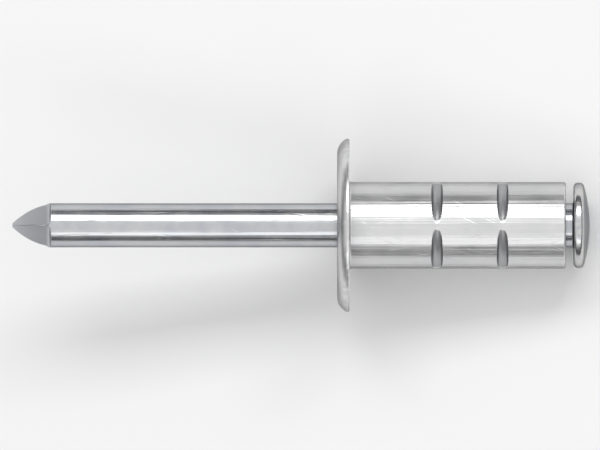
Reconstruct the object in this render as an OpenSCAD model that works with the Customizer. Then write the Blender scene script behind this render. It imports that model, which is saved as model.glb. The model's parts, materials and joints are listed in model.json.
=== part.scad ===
// Blind rivet of the multi-grip kind, unset: a flanged sleeve with two rows of pressed
// dents, on its pull mandrel. Millimetres, +Z up. The rivet lies on its side, resting on
// the flange's rim and on the mandrel head, with the stem towards -X.

/* [Shank] */
// Outside diameter of the shank
shank_d = 4.0; // [3.2:0.1:6.4]
// Length of the shank under the flange
shank_len = 10.0; // [8:0.1:25]
// Rounding of the shank's open end, on the outside
shank_end_r = 0.1; // [0.02:0.01:0.3]
// Fillet between the shank and the flange
shank_fillet_r = 0.1; // [0.02:0.01:0.3]

/* [Flange] */
// Diameter of the flange
flange_d = 8.0; // [6:0.1:16]
// Thickness of the flange
flange_t = 0.57; // [0.4:0.01:0.8]
// Radius of the arc that rounds the flange's face down to its rim
flange_corner_r = 0.75; // [0.6:0.01:1.5]
// Height of the straight rim left under that arc
flange_land = 0.13; // [0.08:0.01:0.3]
// Chamfer of the rim's lower edge
flange_edge_c = 0.04; // [0.01:0.01:0.07]

/* [Bore] */
// Clearance between the stem and the bore, on each side
bore_clearance = 0.05; // [0.02:0.01:0.15]
// Chamfer at both mouths of the bore
bore_chamfer = 0.08; // [0.02:0.01:0.2]

/* [Dents] */
// Distance from the flange's seat to the middle of the first row
dent_first = 4.05; // [2:0.01:6]
// Distance between rows
dent_pitch = 3.03; // [1:0.01:4]
// Number of rows
dent_rows = 2; // [1:1:4]
// Number of dents around the shank
dents_around = 4; // [2:1:4]
// Length of a dent around the shank, in degrees
dent_arc = 80; // [70:1:86]
// Width of a dent along the shank
dent_w = 0.51; // [0.3:0.01:0.8]
// Depth of a dent at its middle
dent_depth = 0.25; // [0.1:0.01:0.32]

/* [Mandrel stem] */
// Diameter of the stem
stem_d = 2.04; // [1.6:0.01:2.6]
// Length of stem that stands out of the flange
stem_out = 15.0; // [8:0.1:40]
// Distance from the break groove to the mandrel head
break_from_head = 1.9; // [1:0.1:4]
// Diameter of the neck that is left in the break groove
break_neck_d = 1.46; // [1:0.01:1.7]
// Width of the break groove at the stem's surface
break_w = 0.7; // [0.4:0.01:1]
// Width of the flat at the break groove's root
break_root_w = 0.12; // [0.05:0.01:0.3]

/* [Mandrel point] */
// Length over which the pinched point grows to the stem's full width
point_len = 2.13; // [1.6:0.01:3.2]
// Distance from the tip to the shoulder that the pinching jaws leave
point_jaw_len = 1.77; // [1.2:0.01:2.2]
// Rounding of the jaws' end, which leaves a fillet at the shoulder
point_jaw_r = 0.28; // [0.1:0.01:0.4]
// Width across the blunt square that is left at the tip
point_flat = 0.12; // [0.05:0.01:0.3]

/* [Mandrel head] */
// Height of the mandrel head
head_t = 0.75; // [0.6:0.01:1.5]
// Radius of the mandrel head's domed face
head_dome_r = 6.5; // [5:0.1:12]
// Rounding of both edges of the mandrel head
head_edge_r = 0.2; // [0.05:0.01:0.21]
// How far the mandrel head's rim lies inside the shank's outline
head_inset = 0.025; // [0:0.005:0.2]
// Space between the shank's open end and the mandrel head
head_space = 0.35; // [0.1:0.01:1]
// Fillet between the stem and the mandrel head
head_fillet_r = 0.08; // [0.02:0.01:0.2]

/* [Hidden] */

ALUMINIUM = [0.84, 0.85, 0.86];
ZINC_PLATED_STEEL = [0.63, 0.65, 0.68];

// Overrun of every cut past the surface it opens
overrun = 0.2;
// Facets of a full circle, and of the large ones that only lend an arc
$fn = 96;
arc_fn = 720;

shank_r = shank_d / 2;
flange_r = flange_d / 2;
stem_r = stem_d / 2;
bore_r = stem_r + bore_clearance;
head_r = shank_r - head_inset;
break_neck_r = break_neck_d / 2;

// Heights along the rivet's own axis, from the flange's seat towards the mandrel head
head_z = shank_len + head_space;
head_top_z = head_z + head_t;
break_z = head_z - break_from_head;
tip_z = -flange_t - stem_out;

// Arc of the flange's corner: tangent to the face, and cut off by the rim
flange_arc_z = flange_corner_r - flange_t;
flange_arc_r = flange_r - sqrt(pow(flange_corner_r, 2) - pow(flange_arc_z + flange_land, 2));

// Dome of the mandrel head, and the rounding tangent to the dome and to the rim
dome_z = head_top_z - head_dome_r;
head_edge_inset_r = head_r - head_edge_r;
head_edge_z = dome_z + sqrt(pow(head_dome_r - head_edge_r, 2) - pow(head_edge_inset_r, 2));

// A dent is pressed by a ring-shaped nose: its section and its centre line's circle
dent_nose_r = (pow(dent_w / 2, 2) + pow(dent_depth, 2)) / (2 * dent_depth);
dent_reach = shank_r + dent_nose_r;
dent_offset = dent_depth * (2 * dent_reach - dent_depth)
    / (2 * (dent_reach * (1 - cos(dent_arc / 2)) - dent_depth));
dent_ring_r = dent_reach - dent_depth + dent_offset;

// A facet of the point is an arc that ends level with the square inscribed in the stem
facet_top = stem_r / sqrt(2);
facet_rise = facet_top - point_flat / 2;
facet_r = (pow(point_len, 2) + pow(facet_rise, 2)) / (2 * facet_rise);

// Edges that can touch the floor, each as [radius from the axis, height, rounding]
rim_edge = [flange_r, -flange_edge_c, 0];
end_edges = [
    [head_edge_inset_r, head_edge_z, head_edge_r],
    [shank_r - shank_end_r, shank_len - shank_end_r, shank_end_r],
];

// Tilt of the axis when the rim and the given edge both touch the floor
function tilt_onto(edge) =
    let (fall = rim_edge[0] - edge[0], run = edge[1] - rim_edge[1])
    atan2(fall, run) - asin((edge[2] - rim_edge[2]) / norm([fall, run]));

rest_tilt = min([for (edge = end_edges) tilt_onto(edge)]);
rest_height = rim_edge[0] * cos(rest_tilt) + rim_edge[1] * sin(rest_tilt) + rim_edge[2];

// Ends of the lying rivet along X, which put the origin under the middle of its length
tip_x = tip_z * cos(rest_tilt) - point_flat / sqrt(2) * sin(rest_tilt);
head_x = dome_z * cos(rest_tilt) + head_dome_r;

// Lays a rivet that was modelled upright, seat at the origin, down on the floor
module lying() {
    translate([-(tip_x + head_x) / 2, 0, rest_height])
        rotate([0, 90 + rest_tilt, 0])
            children();
}

// Waste outside a rounded corner at the origin, whose solid is below and left of it
module corner_waste(r) {
    difference() {
        translate([-r, -r]) square(r + overrun);
        translate([-r, -r]) circle(r);
    }
}

// Waste outside a chamfered corner at the origin, whose solid is below and left of it
module corner_chamfer_waste(c) {
    polygon([[-c - overrun, overrun], [overrun, overrun], [overrun, -c - overrun]]);
}

// Fillet in an inside corner at the origin, whose open side is above and right of it
module corner_fillet(r) {
    difference() {
        translate([-overrun, -overrun]) square(r + overrun);
        translate([r, r]) circle(r);
    }
}

// Waste beyond the flange's rounded corner
module flange_corner_waste() {
    difference() {
        translate([flange_arc_r, -flange_t - overrun])
            square([flange_r - flange_arc_r + overrun, flange_t - flange_land + overrun]);
        translate([flange_arc_r, flange_arc_z]) circle(flange_corner_r, $fn = arc_fn);
    }
}

// Bore with a chamfered mouth at each end
module bore_waste() {
    far = bore_r + bore_chamfer + overrun;
    low = -flange_t;
    high = shank_len;
    flare = bore_chamfer + overrun;
    polygon([
        [-overrun, low - overrun], [far, low - overrun], [bore_r, low - overrun + flare],
        [bore_r, high + overrun - flare], [far, high + overrun], [-overrun, high + overrun],
    ]);
}

// Half section of the sleeve, with the flange's seat at height 0
module body_section() {
    difference() {
        union() {
            square([shank_r, shank_len]);
            translate([0, -flange_t]) square([flange_r, flange_t]);
            translate([shank_r, 0]) corner_fillet(shank_fillet_r);
        }
        bore_waste();
        flange_corner_waste();
        translate([flange_r, 0]) corner_chamfer_waste(flange_edge_c);
        translate([shank_r, shank_len]) corner_waste(shank_end_r);
    }
}

// Ring that presses one dent, centred beyond the axis so that it runs out at both ends
module dent_punch() {
    rotate([0, 0, 180])
        translate([dent_offset, 0, 0])
            rotate_extrude($fn = arc_fn / 4)
                translate([dent_ring_r, 0]) circle(dent_nose_r, $fn = 48);
}

module dents() {
    for (row = [0 : dent_rows - 1])
        for (turn = [0 : dents_around - 1])
            translate([0, 0, dent_first + row * dent_pitch])
                rotate([0, 0, (turn + 0.5) * 360 / dents_around])
                    dent_punch();
}

module rivet_body() {
    color(ALUMINIUM)
        lying()
            difference() {
                rotate_extrude() body_section();
                dents();
            }
}

// Waste beyond the rounding between the mandrel head's dome and its rim
module dome_edge_waste() {
    centre = [head_edge_inset_r, head_edge_z];
    reach = head_edge_r + overrun;
    to_dome = (centre - [0, dome_z]) / (head_dome_r - head_edge_r);
    difference() {
        polygon([centre, centre + reach * to_dome, centre + [reach, reach], centre + [reach, 0]]);
        translate(centre) circle(head_edge_r);
    }
}

// Half section of the mandrel head
module head_section() {
    difference() {
        intersection() {
            translate([0, head_z]) square([head_r, head_t]);
            translate([0, dome_z]) circle(head_dome_r, $fn = arc_fn);
        }
        translate([head_r, head_z]) mirror([0, 1]) corner_waste(head_edge_r);
        dome_edge_waste();
    }
}

// Groove where the mandrel breaks once the rivet is set
module break_groove() {
    slope = (break_w - break_root_w) / 2 / (stem_r - break_neck_r);
    outer = break_w / 2 + overrun * slope;
    polygon([
        [break_neck_r, break_z - break_root_w / 2],
        [stem_r + overrun, break_z - outer],
        [stem_r + overrun, break_z + outer],
        [break_neck_r, break_z + break_root_w / 2],
    ]);
}

// Half section of the mandrel, its point not yet pinched
module mandrel_section() {
    difference() {
        translate([0, tip_z]) square([stem_r, head_z - tip_z + overrun]);
        break_groove();
    }
    head_section();
    translate([stem_r, head_z]) mirror([0, 1]) corner_fillet(head_fillet_r);
}

// Side of one pinching jaw: the tip is at the origin and the stem runs along +X
module jaw_section() {
    facet_centre = [point_len, facet_top - facet_r];
    round_x = point_jaw_len - point_jaw_r;
    round_y = facet_centre[1]
        + sqrt(pow(facet_r + point_jaw_r, 2) - pow(round_x - facet_centre[0], 2));
    round_centre = [round_x, round_y];
    to_facet = (facet_centre - round_centre) / (facet_r + point_jaw_r);
    reach = point_jaw_r + overrun;
    difference() {
        translate([-overrun, 0]) square([point_jaw_len + overrun, stem_r + overrun]);
        translate(facet_centre) circle(facet_r, $fn = arc_fn);
        difference() {
            polygon([
                round_centre, round_centre + reach * to_facet,
                round_centre + [reach, -reach], round_centre + [reach, 0],
            ]);
            translate(round_centre) circle(point_jaw_r);
        }
    }
}

// Four jaws, which leave their ridges towards the sides, the top and the bottom
module point_jaws() {
    for (turn = [0 : 3])
        translate([0, 0, tip_z])
            rotate([0, 0, 45 + 90 * turn])
                rotate([0, -90, -90])
                    linear_extrude(height = stem_d + 2 * overrun, center = true)
                        jaw_section();
}

module mandrel() {
    color(ZINC_PLATED_STEEL)
        lying()
            difference() {
                rotate_extrude() mandrel_section();
                point_jaws();
            }
}

rivet_body();
mandrel();
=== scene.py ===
"""Looks of an unset blind rivet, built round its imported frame.

Sizes are in millimetres along the rivet's own axis, measured from the flange's seat towards
the mandrel head. to_world turns them into metres in the row's frame, where the rivet lies.
"""
import json
import math
from typing import NamedTuple

import bpy
import numpy as np
from mathutils import Matrix, Vector


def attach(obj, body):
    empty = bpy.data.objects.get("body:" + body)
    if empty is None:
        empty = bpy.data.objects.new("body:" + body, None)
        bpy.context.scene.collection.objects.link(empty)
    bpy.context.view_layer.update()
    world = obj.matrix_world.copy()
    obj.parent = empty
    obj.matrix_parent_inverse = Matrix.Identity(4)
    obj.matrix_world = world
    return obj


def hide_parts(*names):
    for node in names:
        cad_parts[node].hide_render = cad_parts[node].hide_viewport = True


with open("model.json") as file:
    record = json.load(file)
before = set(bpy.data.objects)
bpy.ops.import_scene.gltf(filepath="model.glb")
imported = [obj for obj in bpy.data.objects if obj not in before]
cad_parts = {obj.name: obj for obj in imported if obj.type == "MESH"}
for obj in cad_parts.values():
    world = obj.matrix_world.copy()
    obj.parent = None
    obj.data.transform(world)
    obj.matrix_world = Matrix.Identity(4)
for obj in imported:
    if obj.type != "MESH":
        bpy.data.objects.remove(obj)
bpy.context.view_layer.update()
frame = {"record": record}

MM = 0.001
mounts = {m["name"]: m for m in frame["record"]["mounts"]}

# Where the rivet lies: the middle of its flange's seat, its axis, and the way the camera looks from
ORIGIN = Vector(mounts["shank"]["pos_m"])
AXIS = Vector(mounts["shank"]["axis"]).normalized()
SIDE = Vector((0, 1, 0))
FACING = AXIS.cross(SIDE)

# Sleeve
SHANK_R = mounts["shank"]["dims"]["r_mm"]
SHANK_LEN = 10.0
SHANK_END_R = 0.1
SHANK_FILLET_R = 0.1
FLANGE_R = 4.0
FLANGE_T = 0.57
FLANGE_CORNER_R = 0.75
FLANGE_LAND = 0.13
FLANGE_EDGE_C = 0.04
BORE_CLEARANCE = 0.05
BORE_CHAMFER = 0.08

# Pressed dents
DENT_ROWS = (4.05, 7.08)
DENTS_AROUND = 4
DENT_HALF_ARC = math.radians(40)
DENT_W = 0.51
DENT_DEPTH = 0.25
DENT_EDGE = 0.03
DENT_LIP = 0.008
DENT_LIP_W = 0.03

# Mandrel
STEM_R = mounts["stem"]["dims"]["r_mm"]
STEM_OUT = 15.0
BREAK_FROM_HEAD = 1.9
BREAK_NECK_R = 0.73
BREAK_W = 0.7
BREAK_ROOT_W = 0.12
POINT_LEN = 2.13
POINT_JAW_LEN = 1.77
POINT_JAW_R = 0.28
POINT_FLAT = 0.12
POINT_BREAK = 0.02
POINT_CLEAR = 0.12
RIDGE_BREAK = 0.02
HEAD_T = 0.75
HEAD_DOME_R = 6.5
HEAD_EDGE_R = 0.2
HEAD_INSET = 0.025
HEAD_SPACE = 0.35
HEAD_FILLET_R = 0.08

# Mesh density: sides round the axis, steps along a section, and rings on each of its stretches
SLEEVE_SIDES = 360
MANDREL_SIDES = 256
ARC_STEP = math.radians(9)
LINE_STEP = 1.0
BORE_STEP = 3.0
HEAD_STEP = 0.3
SHANK_RINGS = 22
DENT_RINGS = 37
DENT_MARGIN = 0.12
JAW_STEPS = 60
JAW_ROUND_STEPS = 30
POINT_RINGS = 44
POINT_GATHER = 0.8
DOME_RINGS = 26

# How close a straight stretch's first ring lies to its end, how close two points count as one,
# and the angle from which an edge is sharp
SUPPORT = 0.02
SAME_POINT = 1e-6
CREASE = math.radians(28)

BORE_R = STEM_R + BORE_CLEARANCE
HEAD_R = SHANK_R - HEAD_INSET
HEAD_Z = SHANK_LEN + HEAD_SPACE
TIP_Z = -FLANGE_T - STEM_OUT


def to_world(points):
    """Points in the rivet's own millimetres, as metres in the row's frame."""
    turn = np.array([-FACING, SIDE, AXIS])
    return np.asarray(points) @ turn * MM + np.array(ORIGIN)


def arc(centre, radius, start, end):
    """Points on an arc from one angle to another, in degrees from the radial direction."""
    steps = max(2, math.ceil(abs(math.radians(end - start)) / ARC_STEP))
    angles = np.radians(np.linspace(start, end, steps + 1))
    return [(centre[0] + radius * math.cos(a), centre[1] + radius * math.sin(a)) for a in angles]


def line(start, end, step=LINE_STEP):
    """Points between two ends, with one close to each end so that shading stays flat."""
    start, end = np.array(start, float), np.array(end, float)
    length = np.linalg.norm(end - start)
    if length < 3 * SUPPORT:
        return []
    along = (end - start) / length
    inner = np.linspace(SUPPORT, length - SUPPORT, max(2, math.ceil(length / step) + 1))
    return [tuple(start + along * s) for s in inner]


def joined(*stretches):
    """One path from several, without points that repeat the one before."""
    path = []
    for stretch in stretches:
        for point in stretch:
            if not path or math.dist(path[-1], point) > SAME_POINT:
                path.append(tuple(point))
    return path


def mesh_object(name, vertices, faces, material, node):
    """A smooth piece with its creases marked, which stands for one CAD node."""
    mesh = bpy.data.meshes.new(name)
    mesh.from_pydata(to_world(vertices).tolist(), [], faces)
    mesh.shade_smooth()
    mesh.set_sharp_from_angle(angle=CREASE)
    mesh.materials.append(material)
    piece = bpy.data.objects.new(name, mesh)
    bpy.context.scene.collection.objects.link(piece)
    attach(piece, "root")
    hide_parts(node)


def grid_faces(rows, sides, closed):
    """Quads between rows of points, each row closed round the axis."""
    faces = []
    last = rows if closed else rows - 1
    for row in range(last):
        below, above = row * sides, (row + 1) % rows * sides
        for side in range(sides):
            beside = (side + 1) % sides
            faces.append((below + side, below + beside, above + beside, above + side))
    return faces


def soft_min(a, b, width):
    """The smaller of two values, rounded where they cross."""
    overlap = np.clip(width - np.abs(a - b), 0, None) / width
    return np.minimum(a, b) - overlap**2 * width / 4


# Sleeve: one closed section turned round the axis, with the dents pressed into its shank

def sleeve_section():
    """The sleeve's half section as a closed path, and which of its points lie on the shank."""
    corner_z = FLANGE_CORNER_R - FLANGE_T
    corner_r = FLANGE_R - math.sqrt(FLANGE_CORNER_R**2 - (corner_z + FLANGE_LAND) ** 2)
    rim_angle = math.degrees(math.atan2(-FLANGE_LAND - corner_z, FLANGE_R - corner_r))
    mouth_r = BORE_R + BORE_CHAMFER
    face = joined(
        [(mouth_r, -FLANGE_T)],
        line((mouth_r, -FLANGE_T), (corner_r, -FLANGE_T)),
        arc((corner_r, corner_z), FLANGE_CORNER_R, -90, rim_angle),
        line((FLANGE_R, -FLANGE_LAND), (FLANGE_R, -FLANGE_EDGE_C)),
        [(FLANGE_R, -FLANGE_EDGE_C), (FLANGE_R - FLANGE_EDGE_C, 0)],
        line((FLANGE_R - FLANGE_EDGE_C, 0), (SHANK_R + SHANK_FILLET_R, 0)),
        arc((SHANK_R + SHANK_FILLET_R, SHANK_FILLET_R), SHANK_FILLET_R, 270, 180),
    )
    wall = [(SHANK_R, z) for z in shank_heights()]
    end = joined(
        arc((SHANK_R - SHANK_END_R, SHANK_LEN - SHANK_END_R), SHANK_END_R, 0, 90),
        line((SHANK_R - SHANK_END_R, SHANK_LEN), (mouth_r, SHANK_LEN)),
        [(mouth_r, SHANK_LEN), (BORE_R, SHANK_LEN - BORE_CHAMFER)],
        line((BORE_R, SHANK_LEN - BORE_CHAMFER), (BORE_R, BORE_CHAMFER - FLANGE_T), BORE_STEP),
        [(BORE_R, BORE_CHAMFER - FLANGE_T)],
    )
    on_shank = np.array([False] * len(face) + [True] * len(wall) + [False] * len(end))
    return np.array(face + wall + end), on_shank


def shank_heights():
    """Heights of the shank's rings: close together through each row of dents."""
    low, high = SHANK_FILLET_R + SUPPORT, SHANK_LEN - SHANK_END_R - SUPPORT
    reach = DENT_W / 2 + DENT_MARGIN
    plain = np.linspace(low, high, SHANK_RINGS)
    for row in DENT_ROWS:
        plain = plain[np.abs(plain - row) > reach]
    dense = [row + np.linspace(-reach, reach, DENT_RINGS) for row in DENT_ROWS]
    return np.sort(np.concatenate([plain, *dense]))


def dent_floor(angle, height):
    """Distance from the axis to the nearest pressing ring, whose nose is round in section."""
    nose = ((DENT_W / 2) ** 2 + DENT_DEPTH**2) / (2 * DENT_DEPTH)
    reach = SHANK_R + nose
    spare = reach * (1 - math.cos(DENT_HALF_ARC)) - DENT_DEPTH
    offset = DENT_DEPTH * (2 * reach - DENT_DEPTH) / (2 * spare)
    ring = reach - DENT_DEPTH + offset
    pitch = 2 * math.pi / DENTS_AROUND
    turn = np.mod(angle, pitch) - pitch / 2
    floor = np.full(np.broadcast(angle, height).shape, np.inf)
    for row in DENT_ROWS:
        beside = np.abs(height - row)
        inner = ring - np.sqrt(np.clip(nose**2 - beside**2, 0, None))
        here = np.sqrt(inner**2 - (offset * np.sin(turn)) ** 2) - offset * np.cos(turn)
        floor = np.where(beside < nose, np.minimum(floor, here), floor)
    return floor


def build_sleeve(material):
    section, on_shank = sleeve_section()
    angle = np.arange(SLEEVE_SIDES) * 2 * math.pi / SLEEVE_SIDES
    radius = np.repeat(section[:, :1], SLEEVE_SIDES, axis=1)
    height = np.repeat(section[:, 1:], SLEEVE_SIDES, axis=1)
    floor = dent_floor(angle[None, :], height)
    lip = DENT_LIP * np.exp(-np.maximum((floor - radius) / DENT_LIP_W, 0) ** 2)
    pressed_and_dent_shade = soft_min(radius + lip, floor, DENT_EDGE)
    radius = np.where(on_shank[:, None], pressed_and_dent_shade, radius)
    points = np.stack([radius * np.cos(angle), radius * np.sin(angle), height], axis=-1)
    faces = grid_faces(len(section), SLEEVE_SIDES, closed=True)
    mesh_object("sleeve", points.reshape(-1, 3), faces, material, "rivet_body")


# Mandrel: pinched point, stem, break groove and head

def jaw_path():
    """Section that a pinching jaw leaves: distance from the tip, and from the axis."""
    top = STEM_R / math.sqrt(2)
    rise = top - POINT_FLAT / 2
    facet_r = (POINT_LEN**2 + rise**2) / (2 * rise)
    facet = np.array([POINT_LEN, top - facet_r])
    round_x = POINT_JAW_LEN - POINT_JAW_R
    round_y = facet[1] + math.sqrt((facet_r + POINT_JAW_R) ** 2 - (round_x - facet[0]) ** 2)
    start = math.degrees(math.atan2(POINT_FLAT / 2 - facet[1], -facet[0]))
    touch = math.degrees(math.atan2(round_y - facet[1], round_x - facet[0]))
    facet_angles = np.radians(np.linspace(start, touch, JAW_STEPS))
    round_angles = np.radians(np.linspace(touch - 180, 0, JAW_ROUND_STEPS))
    return np.concatenate([
        facet + facet_r * np.stack([np.cos(facet_angles), np.sin(facet_angles)], axis=1),
        np.array([round_x, round_y])
        + POINT_JAW_R * np.stack([np.cos(round_angles), np.sin(round_angles)], axis=1)[1:],
        [[POINT_JAW_LEN, STEM_R + POINT_JAW_R]],
    ])


def point_rows(angle):
    """Rings of the pinched point: on each column the jaw's section, cut off by the stem."""
    path = jaw_path()
    travelled = np.concatenate([[0], np.cumsum(np.linalg.norm(np.diff(path, axis=0), axis=1))])
    turn = np.mod(angle, math.pi / 2) - math.pi / 4
    slant = np.minimum(1 / np.cos(turn), math.sqrt(2) - RIDGE_BREAK)
    reach = np.interp(STEM_R / slant, path[:, 1], travelled)
    rows = []
    for share in np.linspace(0, 1, POINT_RINGS) ** POINT_GATHER:
        along = share * (reach - POINT_BREAK)
        off_axis = np.interp(along, travelled, path[:, 1]) * slant
        rows.append((off_axis, TIP_Z + np.interp(along, travelled, path[:, 0])))
    shoulder = np.interp(reach, travelled, path[:, 0])
    for past in (POINT_BREAK, 2 * POINT_BREAK):
        rows.append((np.full_like(angle, STEM_R), TIP_Z + shoulder + past))
    return rows


def mandrel_section():
    """The mandrel's half section from behind the point to the middle of its dome."""
    groove = HEAD_Z - BREAK_FROM_HEAD
    dome_z = HEAD_Z + HEAD_T - HEAD_DOME_R
    inset_r = HEAD_R - HEAD_EDGE_R
    edge_z = dome_z + math.sqrt((HEAD_DOME_R - HEAD_EDGE_R) ** 2 - inset_r**2)
    dome_angle = math.degrees(math.atan2(edge_z - dome_z, inset_r))
    straight = TIP_Z + POINT_JAW_LEN + POINT_CLEAR
    return joined(
        line((STEM_R, straight), (STEM_R, groove - BREAK_W / 2)),
        [(STEM_R, groove - BREAK_W / 2), (BREAK_NECK_R, groove - BREAK_ROOT_W / 2)],
        [(BREAK_NECK_R, groove + BREAK_ROOT_W / 2), (STEM_R, groove + BREAK_W / 2)],
        line((STEM_R, groove + BREAK_W / 2), (STEM_R, HEAD_Z - HEAD_FILLET_R)),
        arc((STEM_R + HEAD_FILLET_R, HEAD_Z - HEAD_FILLET_R), HEAD_FILLET_R, 180, 90),
        line((STEM_R + HEAD_FILLET_R, HEAD_Z), (inset_r, HEAD_Z), HEAD_STEP),
        arc((inset_r, HEAD_Z + HEAD_EDGE_R), HEAD_EDGE_R, -90, 0),
        arc((inset_r, edge_z), HEAD_EDGE_R, 0, dome_angle),
        [
            (HEAD_DOME_R * math.cos(a), dome_z + HEAD_DOME_R * math.sin(a))
            for a in np.radians(np.linspace(dome_angle, 90, DOME_RINGS)[1:-1])
        ],
    )


def build_mandrel(material):
    angle = np.arange(MANDREL_SIDES) * 2 * math.pi / MANDREL_SIDES
    rows = point_rows(angle)
    rows += [(np.full_like(angle, r), np.full_like(angle, z)) for r, z in mandrel_section()]
    radius, height = (np.array(side) for side in zip(*rows))
    points = np.stack([radius * np.cos(angle), radius * np.sin(angle), height], axis=-1)
    points = np.concatenate([points.reshape(-1, 3), [[0, 0, TIP_Z], [0, 0, HEAD_Z + HEAD_T]]])
    faces = grid_faces(len(rows), MANDREL_SIDES, closed=False)
    tip, top, last = len(points) - 2, len(points) - 1, (len(rows) - 1) * MANDREL_SIDES
    for side in range(MANDREL_SIDES):
        beside = (side + 1) % MANDREL_SIDES
        faces.append((tip, beside, side))
        faces.append((top, last + side, last + beside))
    mesh_object("pull_mandrel", points, faces, material, "mandrel")


# Materials: worked metals, whose marks are placed in the rivet's own millimetres

class Metal(NamedTuple):
    """Colours, roughness, depths of the marks in millimetres, and what shifts the scratches."""

    dark: tuple
    light: tuple
    # The pressed colour: a tone of pressed metal, which on the aluminium is painted shade darkening
    # the dents
    pressed_and_dent_shade: tuple
    rubbed: tuple
    rough: tuple
    pressed_rough: float
    drawn: float
    rings: float
    swell: float
    scratch: float
    nick: float
    seed: float


ALUMINIUM = Metal(
    dark=(0.68, 0.683, 0.69, 1),
    light=(0.75, 0.75, 0.753, 1),
    # Painted shade: the dents get a darker colour that stands for the shade inside them
    pressed_and_dent_shade=(0.46, 0.465, 0.475, 1),
    rubbed=(0.80, 0.80, 0.80, 1),
    rough=(0.30, 0.35),
    pressed_rough=0.05,
    drawn=0.018,
    rings=0.007,
    swell=0.007,
    scratch=0.003,
    nick=0.003,
    seed=3.0,
)
ZINC_PLATED_STEEL = Metal(
    dark=(0.52, 0.54, 0.575, 1),
    light=(0.61, 0.615, 0.62, 1),
    pressed_and_dent_shade=(0.56, 0.575, 0.60, 1),
    rubbed=(0.66, 0.655, 0.645, 1),
    rough=(0.18, 0.24),
    pressed_rough=0.13,
    drawn=0.012,
    rings=0.006,
    swell=0.005,
    scratch=0.002,
    nick=0.0015,
    seed=5.0,
)
GLANCING_TINT = (0.4, 0.4, 0.4, 1)
GRAIN_ROUGH = 0.01

# How many marks of each kind there are to a millimetre, and how much detail each has
PATCHES = (0.85, 3.0)
GRAIN = (6.5, 1.0)
SWELL = (1.5, 1.0)
DRAWN = (8.0, 2.0)
RINGS = (7.5, 3.0)
NICKS = (3.5, 0.0)
SCRATCHED = (0.85, 1.0)

# The values that a noise mostly takes, and those between which a patch turns scratched, an
# edge rubbed, and an edge nicked
NOISE_SPAN = (0.3, 0.7)
SCRATCHED_SPAN = (0.52, 0.62)
RUBBED_SPAN = (0.45, 0.60)
NICKED_SPAN = (0.55, 0.70)

# How drawn out the lines of drawing are, how far apart scratches lie and run, the share of the
# noise that one takes, and the shift between two sets
DRAWN_STRETCH = (1, 1, 0.011)
SCRATCH_RUN = (0.7, 0.7, 30.0)
SCRATCH_W = 0.02
SCRATCH_SHIFT = 4.0

# Sets of scratches, as a twist in radians to a millimetre and a turn: helices on what is round,
# and straight lines square to the axis on the faces
HELICAL = ((0.09, (0, 0, 0)), (-0.23, (0, 0, 0)))
CROSSWISE = ((0, (math.pi / 2, 0, 0.6)), (0, (math.pi / 2, 0, 2.0)))

# How far in from an edge it starts to be rubbed and nicked, and where it wholly is
EDGE_RUBBED = (0.18, 0.05)

# How far below the round surface metal is wholly pressed, and where that starts to show
DENT_SUNK = (0.07, 0.015)
PINCH_SUNK = (0.02, 0.004)

# Where the flange's marks start to fade, the lengths over which the marks of one way of working
# turn into the next, and how far from the shank's end nothing counts as a dent
FLANGE_FADE = 0.02
WORKED_BLEND = 0.1
HEAD_BLEND = 0.05
END_CLEAR = 0.3


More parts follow.
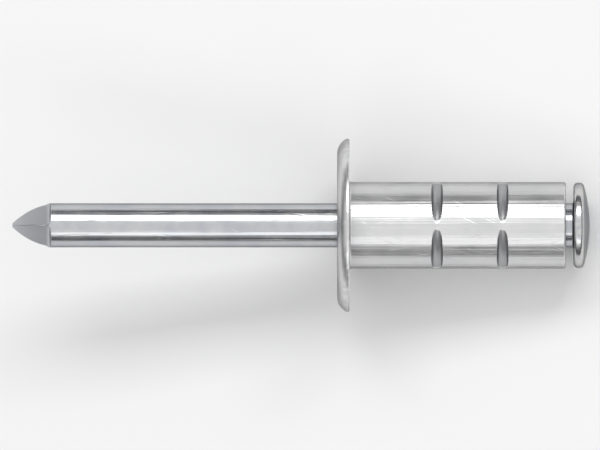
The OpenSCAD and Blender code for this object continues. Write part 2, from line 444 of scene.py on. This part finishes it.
class Nodes:
    """Adds shader nodes to one tree, with each input set to a value or linked to an output."""

    def __init__(self, tree):
        self.tree = tree
        tree.nodes.clear()

    def add(self, kind, inputs=None, **settings):
        node = self.tree.nodes.new(kind)
        for name, value in settings.items():
            setattr(node, name, value)
        for key, value in (inputs or {}).items():
            if isinstance(value, bpy.types.NodeSocket):
                self.tree.links.new(value, node.inputs[key])
            else:
                node.inputs[key].default_value = value
        return node

    def math(self, operation, *values):
        return self.add("ShaderNodeMath", dict(enumerate(values)), operation=operation).outputs[0]

    def total(self, first, *others):
        for other in others:
            first = self.math("ADD", first, other)
        return first

    def product(self, first, *others):
        for other in others:
            first = self.math("MULTIPLY", first, other)
        return first

    def ramp(self, value, low, high, to_low=0.0, to_high=1.0):
        inputs = {0: value, 1: low, 2: high, 3: to_low, 4: to_high}
        return self.add("ShaderNodeMapRange", inputs, interpolation_type="SMOOTHSTEP").outputs[0]

    def without(self, *shares):
        """What is left of one without these shares."""
        return self.math("SUBTRACT", 1.0, self.total(*shares))

    def mix(self, share, first, second):
        inputs = {0: share, 6: first, 7: second}
        return self.add("ShaderNodeMix", inputs, data_type="RGBA").outputs[2]

    def noise(self, vector, scale=1.0, detail=0.0, stretch=(1, 1, 1)):
        stretched = self.add("ShaderNodeMapping", {"Vector": vector, "Scale": stretch}).outputs[0]
        inputs = {"Vector": stretched, "Scale": scale, "Detail": detail}
        return self.add("ShaderNodeTexNoise", inputs).outputs[0]

    def twisted(self, place, twist):
        """The same place, turned about the rivet's axis in proportion to its height."""
        inputs = {"Vector": place, "Angle": self.product(self.along(place), twist)}
        return self.add("ShaderNodeVectorRotate", inputs, rotation_type="Z_AXIS").outputs[0]

    def hairlines(self, place, twist, turn, seed):
        """Sparse hairline scratches: where a noise that runs one way is near its middle."""
        inputs = {
            "Vector": self.twisted(place, twist),
            "Location": (seed, seed, 0),
            "Rotation": turn,
            "Scale": SCRATCH_RUN,
        }
        run = self.add("ShaderNodeMapping", inputs, vector_type="TEXTURE").outputs[0]
        from_middle = self.math("ABSOLUTE", self.math("SUBTRACT", self.noise(run), 0.5))
        shifted = {"Vector": place, "Location": (0, seed, seed)}
        patches = self.noise(self.add("ShaderNodeMapping", shifted).outputs[0], *SCRATCHED)
        return self.product(
            self.ramp(from_middle, 0.0, SCRATCH_W, 1.0, 0.0),
            self.ramp(patches, *SCRATCHED_SPAN),
        )

    def scratches(self, place, part, ways, seed):
        """Hairline scratches on one part of the surface, with a set for each way that they run."""
        sets = [
            self.hairlines(place, twist, turn, seed + SCRATCH_SHIFT * index)
            for index, (twist, turn) in enumerate(ways)
        ]
        return self.product(self.total(*sets), part)

    def edge(self, value, limit):
        """One where a distance nearly reaches its limit, and zero further in."""
        start, full = EDGE_RUBBED
        return self.ramp(value, limit - start, limit - full)

    def sunk(self, off_axis, radius, depths):
        """One where metal is pressed in below a round surface, and zero at that surface."""
        full, start = depths
        return self.ramp(off_axis, radius - full, radius - start, 1.0, 0.0)

    def rings(self, along, off_axis):
        """Marks of turning and pressing, the same all the way round the axis."""
        section = self.add("ShaderNodeCombineXYZ", {0: off_axis, 1: along}).outputs[0]
        return self.noise(section, *RINGS)

    def along(self, place):
        """Height along the rivet's axis."""
        return self.add("ShaderNodeSeparateXYZ", {0: place}).outputs[2]

    def off_axis(self, place):
        """Distance from the rivet's axis."""
        across = self.add("ShaderNodeMapping", {"Vector": place, "Scale": (1, 1, 0)}).outputs[0]
        length = self.add("ShaderNodeVectorMath", {0: across}, operation="LENGTH")
        return length.outputs["Value"]

    def rivet_space(self):
        """Position in the rivet's own millimetres."""
        turn = Matrix((-FACING, SIDE, AXIS))
        place = self.add("ShaderNodeMapping", {
            "Vector": self.add("ShaderNodeTexCoord").outputs["Object"],
            "Location": turn @ ORIGIN / -MM,
            "Rotation": turn.to_euler(),
            "Scale": (1 / MM, 1 / MM, 1 / MM),
        })
        return place.outputs[0]


def new_material(name):
    material = bpy.data.materials.new(name)
    material.use_nodes = True
    return material, Nodes(material.node_tree)


def finish_metal(nodes, place, metal, round_part, faces, pressed_and_dent_shade, edges):
    """Worked metal, told where it is round, a face, pressed, and near an edge.

    The round part has lines of drawing and the faces have rings. Pressed metal is rougher and
    takes the pressed colour, which on the aluminium is painted shade darkening the dents, and
    edges are rubbed and nicked.
    """
    patches = nodes.ramp(nodes.noise(place, *PATCHES), *NOISE_SPAN)
    grain = nodes.noise(place, *GRAIN)
    swell = nodes.noise(place, *SWELL)
    drawn = nodes.noise(place, *DRAWN, DRAWN_STRETCH)
    rings = nodes.rings(nodes.along(place), nodes.off_axis(place))
    nicks = nodes.noise(place, *NICKS)
    rubbed = nodes.product(edges, nodes.ramp(nicks, *RUBBED_SPAN))
    scratches = nodes.total(
        nodes.scratches(place, round_part, HELICAL, metal.seed),
        nodes.scratches(place, faces, CROSSWISE, 2 * metal.seed),
    )
    colour = nodes.mix(patches, metal.dark, metal.light)
    # Painted shade: where pressed, the colour turns to the pressed colour, which darkens the
    # aluminium's dents as their shade would
    colour = nodes.mix(pressed_and_dent_shade, colour, metal.pressed_and_dent_shade)
    smoothest, roughest = metal.rough
    rough = nodes.total(
        nodes.product(patches, nodes.without(rubbed), roughest - smoothest),
        smoothest,
        nodes.ramp(grain, *NOISE_SPAN, -GRAIN_ROUGH, GRAIN_ROUGH),
        nodes.product(pressed_and_dent_shade, metal.pressed_rough),
    )
    relief = nodes.total(
        nodes.product(drawn, round_part, metal.drawn),
        nodes.product(rings, faces, metal.rings),
        nodes.product(swell, metal.swell),
        nodes.product(scratches, -metal.scratch),
        nodes.product(edges, nodes.ramp(nicks, *NICKED_SPAN), -metal.nick),
    )
    bump = nodes.add("ShaderNodeBump", {"Height": relief, "Distance": MM, "Strength": 1.0})
    shader = nodes.add("ShaderNodeBsdfPrincipled", {
        "Base Color": nodes.mix(rubbed, colour, metal.rubbed),
        "Metallic": 1.0,
        "Roughness": rough,
        "Specular Tint": GLANCING_TINT,
        "Normal": bump.outputs[0],
    })
    nodes.add("ShaderNodeOutputMaterial", {"Surface": shader.outputs[0]})


def aluminium_material():
    """Satin aluminium: drawn along the shank, turned on the flange, pressed in the dents.

    The dents are rougher, and their colour is darkened as painted shade.
    """
    material, nodes = new_material("satin_aluminium")
    place = nodes.rivet_space()
    along, off_axis = nodes.along(place), nodes.off_axis(place)
    flange = nodes.ramp(along, FLANGE_FADE, SHANK_FILLET_R, 1.0, 0.0)
    past_flange = nodes.ramp(along, SHANK_FILLET_R, SHANK_FILLET_R + WORKED_BLEND)
    last = SHANK_LEN - END_CLEAR
    before_end = nodes.ramp(along, last - WORKED_BLEND, last, 1.0, 0.0)
    sunk = nodes.sunk(off_axis, SHANK_R, DENT_SUNK)
    # The dents, where the roughness is raised and the colour is darkened as painted shade
    dents = nodes.product(past_flange, before_end, sunk)
    shank = nodes.without(flange, dents)
    mouth = nodes.product(nodes.edge(along, SHANK_LEN), nodes.edge(off_axis, SHANK_R))
    edges = nodes.total(nodes.edge(off_axis, FLANGE_R), mouth)
    finish_metal(nodes, place, ALUMINIUM, shank, flange, dents, edges)
    return material


def steel_material():
    """Zinc-plated steel: drawn along the stem, turned on the head, pressed on the facets."""
    material, nodes = new_material("zinc_plated_wire")
    place = nodes.rivet_space()
    along, off_axis = nodes.along(place), nodes.off_axis(place)
    head = nodes.ramp(along, HEAD_Z - HEAD_BLEND, HEAD_Z)
    last = TIP_Z + POINT_LEN
    by_point = nodes.ramp(along, last, last + WORKED_BLEND, 1.0, 0.0)
    pinched = nodes.product(by_point, nodes.sunk(off_axis, STEM_R, PINCH_SUNK))
    stem = nodes.without(head, pinched)
    rim = nodes.edge(off_axis, HEAD_R)
    finish_metal(nodes, place, ZINC_PLATED_STEEL, stem, head, pinched, rim)
    return material


# Floor, lights and camera

FLOOR_COLOUR = (0.93, 0.93, 0.93, 1)
FLOOR_REACH = 2.0

# Strength of the studio's walls, of the pale strip at the horizon, and overhead, and the
# upward parts of a direction between which one turns into the next
WALL_LEVEL = 0.10
HORIZON_LEVEL = 0.90
HORIZON_TOP = (0.02, 0.05)
OVERHEAD_LEVEL = 0.90
OVERHEAD_START = (0.25, 0.75)

# Strip lamps: lean in degrees, distance, size along and across the rivet, radiance
KEY_LIGHT = (40, 0.45, (0.45, 0.13), 4.4)
FILL_LIGHT = (-45, 0.45, (0.45, 0.10), 1.0)


def build_floor():
    corners = [(-1, -1, 0), (1, -1, 0), (1, 1, 0), (-1, 1, 0)]
    mesh = bpy.data.meshes.new("floor")
    mesh.from_pydata([Vector(c) * FLOOR_REACH for c in corners], [], [(0, 1, 2, 3)])
    material, nodes = new_material("pale_floor")
    shader = nodes.add("ShaderNodeBsdfDiffuse", {"Color": FLOOR_COLOUR})
    nodes.add("ShaderNodeOutputMaterial", {"Surface": shader.outputs[0]})
    mesh.materials.append(material)
    floor = bpy.data.objects.new("floor", mesh)
    bpy.context.scene.collection.objects.link(floor)


def build_world():
    """A studio that is pale overhead and at the horizon, and dim in between."""
    world = bpy.data.worlds.new("studio")
    world.use_nodes = True
    bpy.context.scene.world = world
    nodes = Nodes(world.node_tree)
    direction = nodes.add("ShaderNodeTexCoord").outputs["Generated"]
    upward = nodes.add("ShaderNodeSeparateXYZ", {0: direction}).outputs[2]
    level = nodes.math(
        "ADD",
        nodes.ramp(upward, *OVERHEAD_START, WALL_LEVEL, OVERHEAD_LEVEL),
        nodes.ramp(upward, *HORIZON_TOP, HORIZON_LEVEL - WALL_LEVEL, 0.0),
    )
    background = nodes.add("ShaderNodeBackground", {"Color": (1, 1, 1, 1), "Strength": level})
    nodes.add("ShaderNodeOutputWorld", {"Surface": background.outputs[0]})


def softbox(name, lean, distance, size, radiance):
    """A strip lamp along the rivet, leaning to one side of the way that the camera looks from."""
    lamp = bpy.data.lights.new(name, "AREA")
    lamp.shape = "RECTANGLE"
    lamp.size, lamp.size_y = size
    lamp.energy = radiance * math.pi * size[0] * size[1]
    direction = FACING * math.cos(math.radians(lean)) + SIDE * math.sin(math.radians(lean))
    holder = bpy.data.objects.new(name, lamp)
    turn = Matrix((AXIS, direction.cross(AXIS), direction)).transposed()
    holder.matrix_world = Matrix.Translation(ORIGIN + direction * distance) @ turn.to_4x4()
    bpy.context.scene.collection.objects.link(holder)


def build_lights():
    softbox("key", *KEY_LIGHT)
    softbox("fill", *FILL_LIGHT)


# The drawing: 600 by 450 pixels, with the flange's seat and the axis at these places
PICTURE_W = 600
PICTURE_H = 450
ORIGIN_PIXEL = 349.4
AXIS_PIXEL = 225.3
MM_PER_PIXEL = 0.0462
CAMERA_DISTANCE = 0.3


def build_camera():
    """A side elevation from above, square to the rivet's axis, with the stem to the left."""
    camera = bpy.data.cameras.new("camera")
    camera.type = "ORTHO"
    camera.sensor_fit = "HORIZONTAL"
    camera.ortho_scale = PICTURE_W * MM_PER_PIXEL * MM
    holder = bpy.data.objects.new("camera", camera)
    along = (PICTURE_W / 2 - ORIGIN_PIXEL) * MM_PER_PIXEL * MM
    across = (AXIS_PIXEL - PICTURE_H / 2) * MM_PER_PIXEL * MM
    target = ORIGIN + AXIS * along + SIDE * across
    turn = Matrix((AXIS, SIDE, FACING)).transposed()
    holder.matrix_world = Matrix.Translation(target + FACING * CAMERA_DISTANCE) @ turn.to_4x4()
    bpy.context.scene.collection.objects.link(holder)
    bpy.context.scene.camera = holder


bpy.context.scene.view_settings.view_transform = "Standard"
build_sleeve(aluminium_material())
build_mandrel(steel_material())
build_floor()
build_world()
build_lights()
build_camera()
